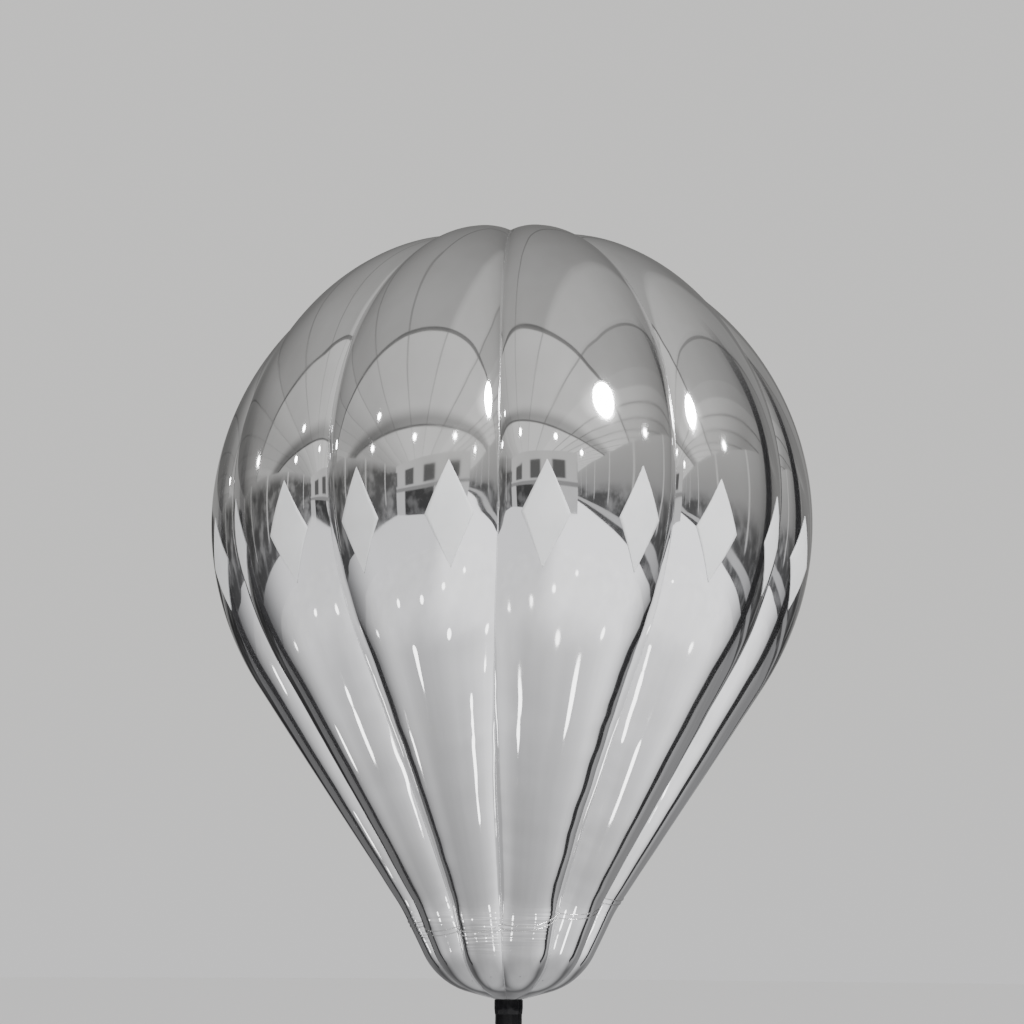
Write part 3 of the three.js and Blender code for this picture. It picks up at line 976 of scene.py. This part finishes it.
def weld_bead_tree():
    """A fillet weld round the socket's foot, rippled like a row of coins."""
    inputs = numbers("Radius", "Height", "Bead") + [("Ripples", "Int"), ("Coat", "Material")]
    tree, given, end = new_tree("socket_weld", inputs)
    start = Link(tree)
    ring = circle(start, given["Ripples"] * RIPPLE_POINTS, given["Radius"])
    move = start.node("ShaderNodeCombineXYZ", {}, 0, 0, given["Height"])
    ring = start.node("GeometryNodeTransform", {}, ring, Translation=move)
    index = start.node("GeometryNodeInputIndex", {})
    swell = abs((index * (math.pi / RIPPLE_POINTS)).maths("SINE")) * 0.3 + 0.8
    ring = start.node("GeometryNodeSetCurveRadius", {}, ring, Radius=swell)
    profile = circle(start, 8, given["Bead"])
    mesh = start.node("GeometryNodeCurveToMesh", {}, ring, profile)
    skin(start, mesh, 50, given["Coat"]).into(end.inputs["Geometry"])
    return tree


powder = grey_powder()
outline = [(0, 0), (BASE_RADIUS, 0), (BASE_RADIUS, BASE_THICKNESS), (0, BASE_THICKNESS)]
plate = turned("plate", outline, powder, 0.0016, sides=180)
fitted(plate, "stand", "grey_powder", "base_plate")
socket = rounded("base_socket", "socket", powder, 0.0009)
fitted(socket, "stand", "grey_powder", "base_socket")
socket_weld = run_tree(
    "socket_weld",
    weld_bead_tree(),
    {
        "Radius": OUTER_RADIUS + WELD_REACH,
        "Height": FLANGE_TOP + WELD_RISE,
        "Bead": WELD_BEAD,
        "Ripples": 72,
        "Coat": powder,
    },
)
fitted(socket_weld, "stand", "grey_powder")

# Outer tube: the tube that the pole slides in, a size wider and in the same gloss
# black. It stands in the socket, and is open at the top.

SLIDE_CLEARANCE = 0.0008

low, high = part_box("outer_tube")
bore = POLE_RADIUS + SLIDE_CLEARANCE
outer_tube = tube("outer_sleeve", bore, high.x, low.z, high.z, gloss, 0.0008)
fitted(outer_tube, "stand", "black_gloss", "outer_tube")

# Clamp: a split nylon ring on the outer tube's top, drawn together by a zinc-plated
# screw with a six-lobed nylon hand knob.

zinc = zinc_plate()
clamp_body = rounded("clamp_ring", "clamp_body", nylon, 0.0012)
fitted(clamp_body, "stand", "black_nylon", "clamp_ring")
clamp_bolt = rounded("clamp_screw", "clamp_bolt", zinc, 0.0005)
fitted(clamp_bolt, "stand", "zinc", "clamp_screw")
clamp_handle = rounded("clamp_knob", "clamp_handle", nylon, 0.0016)
fitted(clamp_handle, "stand", "black_nylon", "clamp_knob")

# Studio: a pale floor and backdrop in soft even light. What the film mirrors is a plain
# hall: a grey ceiling with straight beams and ribs, walls with openings, a polished floor
# whose light is painted on a glowing sheet, brightest in front, round lamps, and two
# narrow dark flags at the sides.

FLOOR_RADIUS = 60.0
FLOOR_COLOUR = (0.725, 0.725, 0.735)
FLOOR_GLOW_RADIUS = 6.0
BACKDROP = 0.80  # how bright the camera sees the surround
SOFT_LIGHT = 1.12  # and how bright it lights the object
HALL_LEFT = 13.0  # the hall's walls, floor and ceiling from the balloon's middle
HALL_RIGHT = 8.2
RIGHT_CORNER = 0.46  # the right wall starts this much nearer to the middle
HALL_FRONT = 14.0
HALL_BACK = 9.0
HALL_DOWN = 2.3
HALL_UP = 3.1
LAMPS = [  # x, y, diameter, power
    (3.1, -4.2, 1.30, 330),
    (0.0, -10.0, 0.40, 9),
    (7.7, -3.1, 0.45, 12),
    (-9.8, 2.5, 0.45, 12),
    (4.6, -13.9, 0.5, 14),
    (-4.7, -8.3, 0.40, 9),
    (-10.1, -5.4, 0.45, 12),
    (-5.6, -3.5, 0.30, 5),
]
GLINTS = [  # x, y: lamps mirrored in the floor
    (1.28, -4.1),
    (-0.2, -3.45),
    (-1.4, -2.8),
    (-2.8, -2.1),
    (0.12, -2.0),
    (2.2, -1.35),
    (1.0, -1.3),
    (-2.65, 0.4),
    (-1.44, -1.27),
    (-3.9, 0.4),
]
GLINT_LENGTH = 0.17  # half of it, on the line to the pole
GLINT_WIDTH = 0.10
GLINT_GLOW = 5.0
FLAGS = [(1.60, 0.30, 4.6), (-1.50, 0.55, 3.2)]  # x, y and height of the dark boards
FLAG_WIDTH = 0.80


def stage_piece(name, work, material, mirrored_only=False):
    """A part of the studio. Some parts are there only to be mirrored in the film."""
    mesh = bpy.data.meshes.new(name)
    work.to_mesh(mesh)
    work.free()
    mesh.materials.append(material)
    made = bpy.data.objects.new(name, mesh)
    scene.collection.objects.link(made)
    made.visible_camera = not mirrored_only
    made.visible_diffuse = not mirrored_only
    made.visible_shadow = not mirrored_only
    made.visible_glossy = mirrored_only
    made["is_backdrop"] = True
    return made


def step_to(tone, other, mask):
    """A tone where the mask is 0, passing into another where it is 1."""
    return tone + (other - tone) * mask


def lines(place, pitch, middle, half_width):
    """Lines across a plane, one for each pitch, with one of them at a middle."""
    near = abs((place - middle + pitch / 2) % pitch - pitch / 2)
    return 1 - near.ramp(half_width * 0.75, half_width * 1.25)


def floor_tone(reach, right, back):
    """Painted floor light: how bright, this far from the pole, to its right and back."""
    far_side = (back / reach).ramp(-0.3, 0.6, 0.0, 0.85) * reach.ramp(0.5, 1.6)
    tone = reach.ramp(0.7, 3.2, 0.47, 1.50) * (1 - far_side)
    return tone * right.ramp(-1.5, 0.3, 0.70, 1.12)


def tinted(tone, tint):
    """A colour as bright as a tone."""
    return tone.node("ShaderNodeVectorMath", {"operation": "SCALE"}, tint, Scale=tone)


def glowing(name, strength):
    """A material that only gives light."""
    made, start, sockets = new_material(name, (0, 0, 0), 1.0)
    sockets["Emission Color"].default_value = (1, 1, 1, 1)
    sockets["Emission Strength"].default_value = strength
    return made, start, sockets


def disc(radius):
    """A round sheet on the floor, about the pole's axis."""
    work = bmesh.new()
    bmesh.ops.create_circle(work, cap_ends=True, radius=radius, segments=128)
    return work


floor_material, _, _ = new_material("floor", FLOOR_COLOUR, 0.7)
stage_piece("floor", disc(FLOOR_RADIUS), floor_material)

# A glowing sheet, seen only in the film, is painted light for the lit floor: brightest in front,
# darker at the far side and to the left, and a little uneven.
floor_glow_material, start, sockets = glowing("polished_floor", 1.0)
spot = on_piece(start)
reach = start.node("ShaderNodeVectorMath", {"operation": "LENGTH"}, spot, out="Value")
right, back = spot.parts("X", "Y")
worn = 1 + (noise(start, spot, 1.3, 3) - 0.5) * 0.25
glow = floor_tone(reach, right, back) * worn
tinted(glow, (0.99, 0.99, 1.01)).into(sockets["Emission Color"])
stage_piece("polished_floor", disc(FLOOR_GLOW_RADIUS), floor_glow_material, True)

work = bmesh.new()
for x, y in GLINTS:
    place = (
        Matrix.Translation((x, y, 0.002))
        @ Matrix.Rotation(math.atan2(y, x), 4, "Z")
        @ Matrix.Diagonal((GLINT_LENGTH, GLINT_WIDTH, 1, 1))
    )
    bmesh.ops.create_circle(work, cap_ends=True, radius=1, segments=24, matrix=place)
stage_piece("floor_glints", work, glowing("glints", GLINT_GLOW)[0], True)

# The flags are boards that fade towards their edges and their tops
flag_material, start, sockets = new_material("flags", (0.02, 0.02, 0.022), 0.9)
spot = on_piece(start)
across, up = spot.parts("X", "Y")
core = abs(across).ramp(0.13, 0.20, 0.7, 0.0) + abs(across).ramp(0.05, 0.5, 0.28, 0.0)
(up.ramp(0.1, 0.5, 1.0, 0.0) * core).into(sockets["Alpha"])
for x, y, height in FLAGS:
    work = bmesh.new()
    bmesh.ops.create_grid(work, x_segments=1, y_segments=1, size=0.5)
    flag = stage_piece("flag", work, flag_material, True)
    flag.matrix_world = (
        Matrix.Translation((x, y, height / 2))
        @ Matrix.Rotation(math.atan2(y, x) + math.pi / 2, 4, "Z")
        @ Matrix.Rotation(math.pi / 2, 4, "X")
        @ Matrix.Diagonal((FLAG_WIDTH, height, 1, 1))
    )

for number, (x, y, size, power) in enumerate(LAMPS):
    light = bpy.data.lights.new(f"lamp_{number}", "AREA")
    light.shape = "DISK"
    light.size = size
    light.energy = power
    lamp = bpy.data.objects.new(f"lamp_{number}", light)
    scene.collection.objects.link(lamp)
    lamp.location = (x, y, BELLY_HEIGHT + HALL_UP)
    aim = Vector((0, 0, BELLY_HEIGHT)) - lamp.location
    lamp.rotation_euler = aim.to_track_quat("-Z", "Y").to_euler()

# The film mirrors the hall alone, so the pole and the stand stay out of it
unmirrored = [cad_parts["pole_spigot"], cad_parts["neck_disc"], pole, collar]
unmirrored += [outer_tube, plate, socket, socket_weld, clamp_body, clamp_bolt, clamp_handle]
for piece in unmirrored:
    piece.visible_glossy = False

world = bpy.data.worlds.new("studio")
scene.world = world
world.use_nodes = True
hall = Link(world.node_tree)
direction = hall.node("ShaderNodeTexCoord", {}, out="Generated")
dx, dy, dz = direction.parts("X", "Y", "Z")
uneven = noise(hall, direction, 2.2) - 0.5

# The ceiling, in shares of its height, with ribs that run from back to front, a little
# turned. In front of the dim part overhead come the near beam, a bright bay with a dark
# strip at its end, the far beam and a second bay.
RIB_TURN = math.radians(24.2)
RIB_PITCH = 0.5
RIB_AT = 0.1
NEAR_BEAM = -0.53
FAR_BEAM = -2.35
NO_OTHER = 20  # a pitch so wide that there is only one line
LAMP_GLARE = (1.0, -1.35)

above = dz.maths("MAXIMUM", 0.03)
right = dx / above
back = dy / above
along_ribs = right * math.sin(RIB_TURN) + back * math.cos(RIB_TURN)
across_ribs = right * math.cos(RIB_TURN) - back * math.sin(RIB_TURN)
nearest = along_ribs.ramp(NEAR_BEAM - 0.02, NEAR_BEAM + 0.02)
overhead = along_ribs.ramp(-0.5, 1.3, 0.43, 0.20) * across_ribs.ramp(0.06, 0.18, 1.0, 1.35)
overhead = overhead * across_ribs.ramp(0.62, 0.66, 1.0, 0.86)
overhead = overhead * across_ribs.ramp(1.33, 1.37, 1.0, 1.25)
first_bay = across_ribs.ramp(-1.5, 1.5, 0.60, 0.76)
strip = across_ribs.ramp(-1.8, 1.0, 0.24, 0.40)
second_bay = across_ribs.ramp(-3.0, 0.0, 0.60, 0.78)
ceiling = step_to(second_bay, strip, along_ribs.ramp(FAR_BEAM - 0.03, FAR_BEAM + 0.03))
ceiling = step_to(ceiling, first_bay, along_ribs.ramp(-2.1, -1.6))
ceiling = step_to(ceiling, overhead, nearest)
ceiling = ceiling * across_ribs.ramp(-2.2, -1.2, 0.70, 1.0)

bay = ((across_ribs - RIB_AT) / RIB_PITCH).maths("FLOOR")
bay_tone = hall.node("ShaderNodeTexWhiteNoise", {"noise_dimensions": "1D"}, W=bay) - 0.5
ceiling = ceiling * (1 + bay_tone * across_ribs.ramp(-1.2, -0.6, 0.4, 0.12) + uneven * 0.2)
ribs = lines(across_ribs, RIB_PITCH, RIB_AT, 0.010) * across_ribs.ramp(0.2, 0.3, 0.34, 0.0)
ribs = ribs * (1 - nearest * across_ribs.ramp(0.0, 0.05))
cross_beams = lines(across_ribs, 1.38, 0.65, 0.014) * across_ribs.ramp(0.2, 0.3, 0.0, 0.6)
purlins = lines(across_ribs, 0.39, 2.05, 0.022) * across_ribs.ramp(1.5, 1.6, 0.0, 0.75)
near_beam = lines(along_ribs, NO_OTHER, NEAR_BEAM, 0.024)
far_beam = lines(along_ribs, NO_OTHER, FAR_BEAM, 0.05)
beams = near_beam.maths("MAXIMUM", far_beam)
beams = beams.maths("MAXIMUM", cross_beams.maths("MAXIMUM", purlins))
ceiling = ceiling * (1 - ribs.maths("MAXIMUM", beams * 0.66))
from_lamp = ((right - LAMP_GLARE[0]) ** 2 + (back - LAMP_GLARE[1]) ** 2).maths("SQRT")
ceiling = ceiling + from_lamp.ramp(0.15, 0.55, 0.6, 0.0)

# The walls, in metres. In front: dark panels high up, and one wide opening on the left.
# At the sides: grey above, dark below with a pale rail, and thin bright posts.
DARK = 0.12
PALE = 0.62
LINTEL = 0.30
SIDE_GREY = 0.30
SIDE_DARK = 0.10
RAIL = 0.60

to_side = step_to(HALL_LEFT, HALL_RIGHT, dx > 0) / abs(dx).maths("MAXIMUM", 0.001)
to_end = step_to(HALL_FRONT, HALL_BACK, dy > 0) / abs(dy).maths("MAXIMUM", 0.001)
to_level = step_to(HALL_DOWN, HALL_UP, dz > 0) / abs(dz).maths("MAXIMUM", 0.001)
at_side = to_end > to_side * step_to(1.0, RIGHT_CORNER, dx > 0)
to_wall = step_to(to_end, to_side, at_side)
level = dz * to_wall
along = step_to(dx * to_wall, dy * to_wall, at_side)
stains = noise(hall, direction, 1, 3, (7, 7, 12))

panels = lines(along, 4.7, -4.4, 1.2) * level.ramp(0.65, 0.8) * level.ramp(2.4, 2.25)
front_upper = step_to(0.60 + uneven * 0.2, DARK, panels)
opening = along.ramp(-10.6, -10.2) * along.ramp(-3.1, -3.4) * level.ramp(0.3, 0.1)
beyond = 0.06 + stains.ramp(0.45, 0.75) * 0.12
front_lower = step_to(PALE + stains * 0.1, beyond, opening)
lintel = level.ramp(0.05, 0.15) * level.ramp(0.55, 0.45)
front_wall = step_to(step_to(front_lower, front_upper, level > 0.3), LINTEL, lintel)

side_lower = SIDE_DARK + stains.ramp(0.40, 0.75) * 0.22
side_upper = SIDE_GREY + level * 0.05
dark_up_to = step_to(3.3, 0.9, dx > 0)
posts = lines(along, 5.2, 0.4, 0.14) * level.ramp(-1.0, -0.6)
rail = level.ramp(-1.85, -1.75) * level.ramp(-1.25, -1.35) * (dx > 0)
side_wall = step_to(side_lower, side_upper, (level - dark_up_to).ramp(-1.2, 0.1))
side_wall = step_to(side_wall, PALE, posts)
side_wall = step_to(side_wall, RAIL, rail)
wall = step_to(front_wall, side_wall, at_side) * dy.ramp(-0.2, 0.7, 1.0, 0.5)

# Ceiling, walls and floor together are what the film mirrors. The camera sees a pale
# backdrop instead, and all else gets soft even light.
FARTHEST = 60  # times the direction's length, for a floor seen nearly edge on

ground = to_level.maths("MINIMUM", FARTHEST)
far_reach = (1 - dz * dz).maths("SQRT") * ground
far_floor = floor_tone(far_reach, dx * ground, dy * ground)
level_hall = step_to(far_floor, ceiling, dz > 0)
mirrored = step_to(level_hall, wall, to_level > to_wall)
rays = ("Is Camera Ray", "Is Glossy Ray")
by_camera, by_gloss = hall.node("ShaderNodeLightPath", {}, out=rays)
tone = step_to(step_to(SOFT_LIGHT, mirrored, by_gloss), BACKDROP, by_camera)
tint = dz.ramp(-0.2, 0.2).colour((0.985, 0.985, 1.01), (1.0, 0.992, 0.975))
tinted(tone, tint).into(world.node_tree.nodes["Background"].inputs["Color"])

# The box round every shown piece, the studio left out

low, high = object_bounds()
